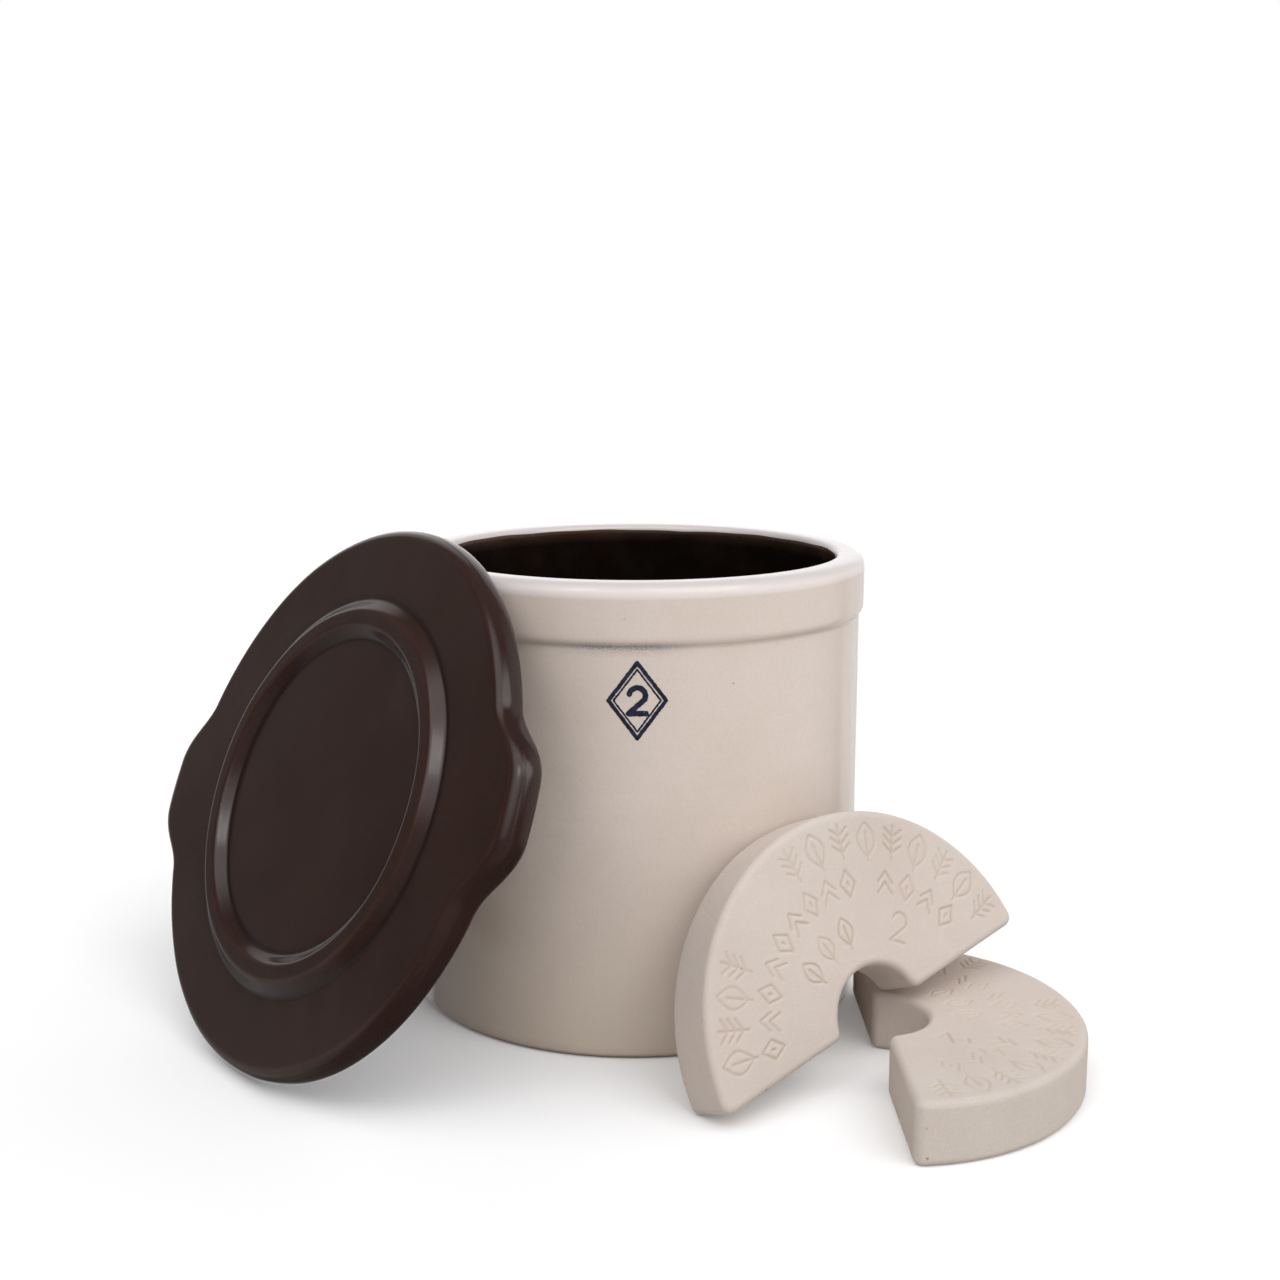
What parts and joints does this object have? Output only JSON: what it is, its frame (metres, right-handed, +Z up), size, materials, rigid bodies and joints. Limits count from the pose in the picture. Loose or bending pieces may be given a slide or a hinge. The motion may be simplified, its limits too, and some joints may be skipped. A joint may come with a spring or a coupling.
{
  "type": "fermentation crock",
  "caption": "Straight-walled stoneware fermenting crock with a collared rim, a lugged lid that leans on it, and half-ring pressing weights.",
  "frame": {"origin": "centre of the crock's base, on the surface that it stands on", "axes": "+Z up along the crock's axis, towards its mouth; the face with the capacity mark looks along -Y; the lid leans on the -X side and the weights lie on the +X side"},
  "size_m": [0.4737, 0.3463, 0.2521],
  "materials": {
    "cream_glaze": "glossy clear glaze over cream stoneware",
    "liner_glaze": "glossy near-black brown slip glaze inside the crock",
    "lid_glaze": "glossy dark chocolate brown glaze",
    "bisque": "matt unglazed fired clay",
    "stamp_ink": "navy ceramic ink under the clear glaze"
  },
  "bodies": {
    "crock": {"crock": "cream_glaze"},
    "lid": {"lid": "lid_glaze"},
    "weight_flat": {"weight_flat": "bisque"},
    "weight_leaning": {"weight_leaning": "bisque"}
  },
  "joints": [
    {"name": "lid_lift", "type": "slide", "parent": "crock", "child": "lid", "axis": [0, 0, 1], "range_m": [0, 0.3]},
    {"name": "weight_flat_lift", "type": "slide", "parent": "crock", "child": "weight_flat", "axis": [0.053, -0.0692, 0.9962], "range_m": [0, 0.28]},
    {"name": "weight_leaning_lift", "type": "slide", "parent": "weight_flat", "child": "weight_leaning", "axis": [0.053, -0.0692, 0.9962], "range_m": [0, 0.28]}
  ]
}
